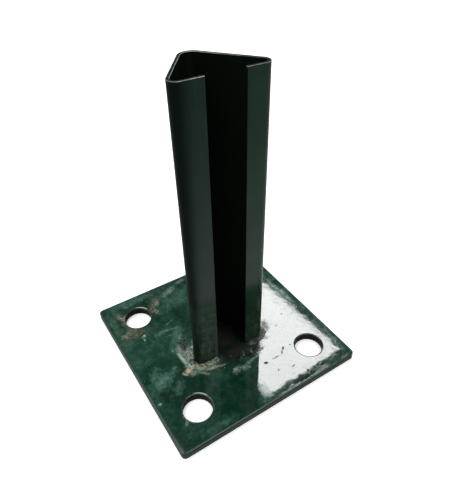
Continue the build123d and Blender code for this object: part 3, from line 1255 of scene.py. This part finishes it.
@dataclass(frozen=True)
class FootWelds:
    """The four fillet welds round the upright's foot, rippled and lumpy, and the spatter they left."""

    section: FootSection = FootSection()
    leg: float = WELD_LEG
    crown: float = 0.75
    sunk: float = 0.35
    edge_round: float = 1.1
    step: float = 0.22
    profile_points: int = 40
    overlap: float = 1.4
    end_gap: float = 0.8
    end_taper: float = 1.5
    end_share: float = 0.3
    plate_top: float = PLATE_TOP
    ripple_pitch: float = 1.35
    ripple_height: float = 0.16
    ripple_lead: float = -2.2
    ripple_wander: float = 1.6
    ripple_power: float = 0.7
    lump_height: float = 0.55
    lump_grain: float = 0.28
    knot_grain: float = 0.9
    spatter_count: int = 90
    spatter_nearest: float = 4.2
    spatter_spread: float = 11.0
    spatter_slide: float = 2.0
    spatter_crowding: float = 2.2
    largest_drop: float = 0.42
    smallest_share: float = 0.35
    drop_shape: Place = (1.0, 0.85, 0.6)
    first_seed: int = 3
    seed_step: int = 5
    spatter_seed: int = 7
    names: tuple[str, ...] = ("weld_right_lip", "weld_right_side", "weld_left_side", "weld_left_lip")

    @staticmethod
    def _captured(wiring: Wiring, curve: Signal, port: str) -> tuple[Signal, Signal]:
        """Keep one of a curve's own parameters on its points.

        Args:
            wiring: The tree's wiring.
            curve: The curve.
            port: The parameter, Length or Factor.

        Returns:
            The curve and the kept parameter.
        """
        made = wiring.node("GeometryNodeCaptureAttribute", {"Geometry": curve})
        made.capture_items.new("FLOAT", port)
        wiring.feed(made.inputs[port], wiring.output("GeometryNodeSplineParameter", port=port))
        return Signal(wiring, made.outputs["Geometry"]), Signal(wiring, made.outputs[port])

    @staticmethod
    def _random(wiring: Wiring, low: float, high: float, seed: Feed) -> Signal:
        """Return a random number from low to high for each point."""
        return wiring.output("FunctionNodeRandomValue", {2: low, 3: high, "Seed": seed}, 1, data_type="FLOAT")

    @staticmethod
    def _end(group: Group, name: str, geometry: Signal) -> None:
        """Shade a tree's geometry smooth, realize it, give it the tree's material and put it out.

        Args:
            group: The tree's group.
            name: The tree's output.
            geometry: The geometry to finish.
        """
        wiring = group.wiring
        for kind in ("GeometryNodeSetShadeSmooth", "GeometryNodeRealizeInstances"):
            geometry = wiring.output(kind, {"Geometry": geometry})
        finish = {"Geometry": geometry, "Material": group["Material"]}
        group.put(name, wiring.output("GeometryNodeSetMaterial", finish))

    def _profile(self, group: Group) -> Signal:
        """Draw the bead's section: a fillet with a crown, its edges rounded and its back a little sunk.

        Args:
            group: The bead's group.

        Returns:
            The section's curve.
        """
        wiring = group.wiring
        leg = group["Leg"]
        crest = leg * 0.5 + group["Crown"] * math.sqrt(0.5)
        below = -group["Sunk"]
        corners = ((below, below), (leg, below), (crest, crest), (below, leg))
        points = {
            f"Point {number}": wiring.output("ShaderNodeCombineXYZ", dict(enumerate(corner)))
            for number, corner in enumerate(corners, start=1)
        }
        curve = wiring.output("GeometryNodeCurvePrimitiveQuadrilateral", points, mode="POINTS")
        rounding = {"Radius": self.edge_round * MM, "Limit Radius": True, "Count": 4}
        curve = wiring.output("GeometryNodeFilletCurve", {"Curve": curve, **rounding}, mode="POLY")
        return wiring.output("GeometryNodeResampleCurve", {"Curve": curve, "Count": self.profile_points})

    def _bead_tree(self) -> Group:
        """Build the tree that sweeps a rippled bead along a path.

        Returns:
            The tree's group, which puts out the bead.
        """
        group = Group.new("weld bead", TreeKind.GEOMETRY, {
            "Path": SocketKind.GEOMETRY,
            "Leg": self.leg * MM,
            "Crown": self.crown * MM,
            "Sunk": self.sunk * MM,
            "Step": self.step * MM,
            "Ripple Pitch": self.ripple_pitch * MM,
            "Ripple Height": self.ripple_height * MM,
            "Lump Height": self.lump_height * MM,
            "End Taper": self.end_taper * MM,
            "Seed": self.first_seed,
            "Material": SocketKind.MATERIAL,
        }, {"Bead": SocketKind.GEOMETRY})
        wiring = group.wiring

        curve = wiring.output("GeometryNodeMeshToCurve", {"Mesh": group["Path"]})
        stepped = {"Curve": curve, "Length": group["Step"]}
        curve = wiring.output("GeometryNodeResampleCurve", stepped, mode="LENGTH")
        curve = wiring.output("GeometryNodeSetCurveNormal", {"Curve": curve}, mode="Z_UP")
        curve, along = self._captured(wiring, curve, "Length")
        profile, turn_share = self._captured(wiring, self._profile(group), "Factor")

        span = wiring.output("GeometryNodeSplineParameter", port="Length")
        whole = wiring.output("GeometryNodeSplineLength", port="Length")
        from_end = wiring.math("MINIMUM", span, whole - span)
        taper = wiring.math("DIVIDE", from_end, group["End Taper"], clamp=True)
        rounded = wiring.math("SQRT", 1.0 - (1.0 - taper) ** 2.0)
        bead = wiring.output("GeometryNodeCurveToMesh", {
            "Curve": curve,
            "Profile Curve": profile,
            "Scale": rounded * (1.0 - self.end_share) + self.end_share,
            "Fill Caps": True,
        })

        position = wiring.output("GeometryNodeInputPosition")
        seed_shift = wiring.scaled((0.37, 0.61, 0.83), group["Seed"])
        noise_place = wiring.vector("ADD", wiring.scaled(position, 1 / MM), seed_shift)
        lumps = wiring.noise(noise_place, self.lump_grain, detail=2.0)
        knots = wiring.noise(noise_place, self.knot_grain, roughness=0.55)
        lead = abs(turn_share - 0.5) * self.ripple_lead
        phase = along / group["Ripple Pitch"] + lead + knots * self.ripple_wander
        wave = wiring.math("SINE", phase * math.tau) * 0.5 + 0.5
        crest = wave ** self.ripple_power
        rise = (
            group["Ripple Height"] * (crest - 0.5)
            + group["Lump Height"] * (lumps - 0.5) * 2.0
            + group["Lump Height"] * (knots - 0.5) * 0.7
        )
        offset = wiring.scaled(wiring.output("GeometryNodeInputNormal", port="Normal"), rise)
        bead = wiring.output("GeometryNodeSetPosition", {"Geometry": bead, "Offset": offset})
        kept = {"Geometry": bead, "Name": HOLLOW, "Value": 1.0 - crest}
        bead = wiring.output("GeometryNodeStoreNamedAttribute", kept, data_type="FLOAT", domain="POINT")
        self._end(group, "Bead", bead)
        return group

    def _spatter_tree(self) -> Group:
        """Build the tree that throws small drops of weld metal off a path.

        Returns:
            The tree's group, which puts out the drops.
        """
        group = Group.new("weld spatter", TreeKind.GEOMETRY, {
            "Path": SocketKind.GEOMETRY,
            "Count": self.spatter_count,
            "Nearest": self.spatter_nearest * MM,
            "Spread": self.spatter_spread * MM,
            "Largest": self.largest_drop * MM,
            "Seed": self.spatter_seed,
            "Material": SocketKind.MATERIAL,
        }, {"Drops": SocketKind.GEOMETRY})
        wiring = group.wiring
        seed = group["Seed"]
        slide_limit = self.spatter_slide * MM
        throw = self._random(wiring, 0.0, 1.0, seed)
        slide = self._random(wiring, -slide_limit, slide_limit, seed + 1.0)
        size = self._random(wiring, self.smallest_share, 1.0, seed + 2.0)

        curve = wiring.output("GeometryNodeMeshToCurve", {"Mesh": group["Path"]})
        curve = wiring.output("GeometryNodeSetCurveNormal", {"Curve": curve}, mode="Z_UP")
        spots = wiring.node("GeometryNodeCurveToPoints", {"Curve": curve, "Count": group["Count"]})
        reach = group["Nearest"] + group["Spread"] * throw ** self.spatter_crowding
        outwards = wiring.scaled(spots.outputs["Normal"], reach)
        sideways = wiring.scaled(spots.outputs["Tangent"], slide)
        spread = wiring.output("GeometryNodeSetPosition", {
            "Geometry": spots.outputs["Points"],
            "Offset": wiring.vector("ADD", outwards, sideways),
        })
        drop = wiring.output("GeometryNodeMeshIcoSphere", {"Radius": 1.0, "Subdivisions": 2})
        radius = group["Largest"] * size ** 2.0
        sides = dict(enumerate(radius * share for share in self.drop_shape))
        flattened = wiring.output("ShaderNodeCombineXYZ", sides)
        scattered = {"Points": spread, "Instance": drop, "Scale": flattened}
        self._end(group, "Drops", wiring.output("GeometryNodeInstanceOnPoints", scattered))
        return group

    def _runs(self) -> list[list[Vector]]:
        """Split the foot line into one run for each weld.

        Returns:
            Each run's points, in metres, a little past the middle of each bend it ends in.
        """
        points, middles = self.section.outline()
        points = [Vector((point.x, point.y, self.plate_top)) for point in points]
        stops = [0, *middles, len(points) - 1]
        runs = []
        for start, stop in zip(stops, stops[1:]):
            run = [point.copy() for point in points[start:stop + 1]]
            first_push = -self.end_gap if start == 0 else self.overlap
            last_push = -self.end_gap if stop == len(points) - 1 else self.overlap
            run[0] += (run[0] - run[1]).normalized() * first_push
            run[-1] += (run[-1] - run[-2]).normalized() * last_push
            runs.append([point * MM for point in run])
        return runs

    def build(self, material: bpy.types.Material) -> None:
        """Make the beads and the spatter.

        Args:
            material: The welds' material.
        """
        bead_tree = self._bead_tree()
        pieces = []
        for number, (node, run) in enumerate(zip(self.names, self._runs())):
            path = path_object(node.replace("weld", "bead"), run)
            seed = self.first_seed + self.seed_step * number
            piece = grown(path, bead_tree, {"Seed": seed, "Material": material})
            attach(piece, ROOT)
            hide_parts(node)
            pieces.append(piece)
        foot = [Vector((point.x, point.y, self.plate_top)) * MM for point in self.section.outline()[0]]
        spatter = grown(path_object("weld_spatter", foot), self._spatter_tree(), {"Material": material})
        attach(spatter, ROOT)
        pieces.append(spatter)
        for piece in pieces:
            log.info("built %s: %d faces", piece.name, len(piece.data.polygons))


@dataclass(frozen=True)
class Lamp:
    """A square soft lamp that points at the object. Its level is the light that it gives a facing surface."""

    name: str
    azimuth: float
    elevation: float
    level: float
    distance: float = 1.5
    side: float = 0.7


@dataclass(frozen=True)
class Studio:
    """A plain pale floor, a dim ceiling with a white band above the horizon, and soft lamps."""

    floor_radius: float = 6.0
    floor_sides: int = 64
    floor_colour: Colour = (0.9, 0.9, 0.9)
    floor_lift: float = 0.42
    horizon_level: float = 0.95
    ceiling_level: float = 0.10
    band_top: float = 28.0
    ceiling_from: float = 38.0
    target: Place = (0.0, 0.0, 0.06)
    panel_centre: Place = (0.757, 0.905, 1.4)
    panel_size: Point = (0.400, 0.540)
    panel_turn: float = 5.0
    panel_radiance: float = 17.5
    lamps: tuple[Lamp, ...] = (
        Lamp("key_lamp", -110.0, 60.0, 0.42),
        Lamp("fill_lamp", 28.0, 60.0, 0.30),
        Lamp("back_lamp", -165.0, 66.0, 0.22),
    )

    def _floor(self) -> None:
        """Lay the floor, which the camera and reflections see a little lighter than it is lit."""
        mesh = bpy.data.meshes.new("floor")
        turns = [math.tau * side / self.floor_sides for side in range(self.floor_sides)]
        reach = self.floor_radius
        rim = [(reach * math.cos(turn), reach * math.sin(turn), 0.0) for turn in turns]
        mesh.from_pydata(rim, [], [tuple(range(self.floor_sides))])
        linked("floor", mesh)
        material, wiring = empty_material("floor_paint")
        rays = wiring.node("ShaderNodeLightPath").outputs
        seen = wiring.either(rays["Is Camera Ray"], rays["Is Glossy Ray"], rays["Is Transmission Ray"])
        matt = wiring.output("ShaderNodeBsdfDiffuse", {"Color": (*self.floor_colour, 1.0)})
        lift = wiring.output("ShaderNodeEmission", {"Strength": seen * self.floor_lift})
        both = wiring.output("ShaderNodeAddShader", {0: matt, 1: lift})
        wiring.node("ShaderNodeOutputMaterial", {"Surface": both})
        mesh.materials.append(material)

    def _world(self) -> None:
        """Light the room: white just above the horizon, dim overhead, and white wherever the camera looks."""
        world = bpy.data.worlds.new("studio")
        world.use_nodes = True
        world.node_tree.nodes.clear()
        wiring = Wiring(world.node_tree)
        direction = wiring.output("ShaderNodeTexCoord", port="Generated")
        height = wiring.axes(direction)[2]
        low, high = (math.sin(math.radians(angle)) for angle in (self.band_top, self.ceiling_from))
        level = wiring.ramp(height, low, high, self.horizon_level, self.ceiling_level)
        camera_ray = wiring.output("ShaderNodeLightPath", port="Is Camera Ray")
        background = wiring.output("ShaderNodeBackground", {"Strength": wiring.either(level, camera_ray)})
        wiring.node("ShaderNodeOutputWorld", {"Surface": background})
        bpy.context.scene.world = world

    @staticmethod
    def _soft_light(name: str, size: Point, energy: float) -> bpy.types.Object:
        """Make a rectangular lamp that faces down.

        Args:
            name: The lamp's name.
            size: Its sides, in metres.
            energy: Its energy, in watts.

        Returns:
            The lamp's object.
        """
        data = bpy.data.lights.new(name, "AREA")
        data.shape = "RECTANGLE"
        data.size, data.size_y = size
        data.energy = energy
        return linked(name, data)

    def _lamp(self, lamp: Lamp) -> None:
        """Hang one soft lamp.

        Args:
            lamp: The lamp.
        """
        azimuth = math.radians(lamp.azimuth)
        elevation = math.radians(lamp.elevation)
        towards = Vector((
            math.sin(azimuth) * math.cos(elevation),
            -math.cos(azimuth) * math.cos(elevation),
            math.sin(elevation),
        ))
        energy = lamp.level * math.pi**2 * lamp.distance**2
        made = self._soft_light(lamp.name, (lamp.side, lamp.side), energy)
        made.location = Vector(self.target) + towards * lamp.distance
        made.rotation_euler = towards.to_track_quat("Z", "Y").to_euler()

    def _panel(self) -> None:
        """Hang the panel whose mirror image lies on the right of the plate."""
        energy = self.panel_radiance * math.pi * self.panel_size[0] * self.panel_size[1]
        made = self._soft_light("ceiling_panel", self.panel_size, energy)
        made.location = self.panel_centre
        made.rotation_euler = (0.0, 0.0, math.radians(self.panel_turn))

    def build(self) -> None:
        """Set up the whole studio."""
        self._floor()
        self._world()
        self._panel()
        for lamp in self.lamps:
            self._lamp(lamp)
        bpy.context.scene.view_settings.view_transform = "Standard"
        log.info("studio ready: %d lamps and a panel", len(self.lamps))


@dataclass(frozen=True)
class PhotoCamera:
    """The camera at the photograph's place: millimetres, degrees, and pixels of its 450 by 500 frame."""

    place: Place = (-98.98, -171.20, 237.32)
    heading: float = 32.14
    down: float = 40.54
    roll: float = -1.045
    focal_pixels: float = 465.8
    centre_pixel: Point = (230.45, 256.19)
    frame_pixels: Point = (450.0, 500.0)
    sensor: float = 36.0
    nearest: float = 10.0

    def build(self) -> None:
        """Make the camera and hand it to the scene."""
        heading = math.radians(self.heading)
        down = math.radians(self.down)
        roll = math.radians(self.roll)
        forward = Vector((
            math.sin(heading) * math.cos(down),
            math.cos(heading) * math.cos(down),
            -math.sin(down),
        ))
        level_right = Vector((math.cos(heading), -math.sin(heading), 0.0))
        level_up = level_right.cross(forward)
        right = level_right * math.cos(roll) + level_up * math.sin(roll)
        upwards = level_up * math.cos(roll) - level_right * math.sin(roll)
        data = bpy.data.cameras.new("photo_camera")
        long_side = max(self.frame_pixels)
        data.sensor_width = self.sensor
        data.lens = self.focal_pixels / long_side * self.sensor
        data.shift_x = -(self.centre_pixel[0] - self.frame_pixels[0] / 2) / long_side
        data.shift_y = (self.centre_pixel[1] - self.frame_pixels[1] / 2) / long_side
        data.clip_start = self.nearest * MM
        camera = linked("photo_camera", data)
        turned = Matrix((right, upwards, -forward)).transposed().to_4x4()
        camera.matrix_world = Matrix.Translation(Vector(self.place) * MM) @ turned
        bpy.context.scene.camera = camera


def main() -> None:
    """Dress the post base and set up its studio."""
    logging.basicConfig(level=logging.INFO, format="%(name)s: %(message)s")
    section = FootSection()
    effects = Effects(section)
    plate_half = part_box("base_plate")[1].x / MM
    PhotoCamera().build()
    Studio().build()
    plate = dress("base_plate", PlateFinish(plate_half).material(effects))
    edges = EdgeFinish()
    edges.cover(plate, edges.material(effects))
    dress("upright", UprightFinish(section).material(effects))
    FootWelds(section).build(WeldFinish().material(effects))


if __name__ == "__main__":
    main()
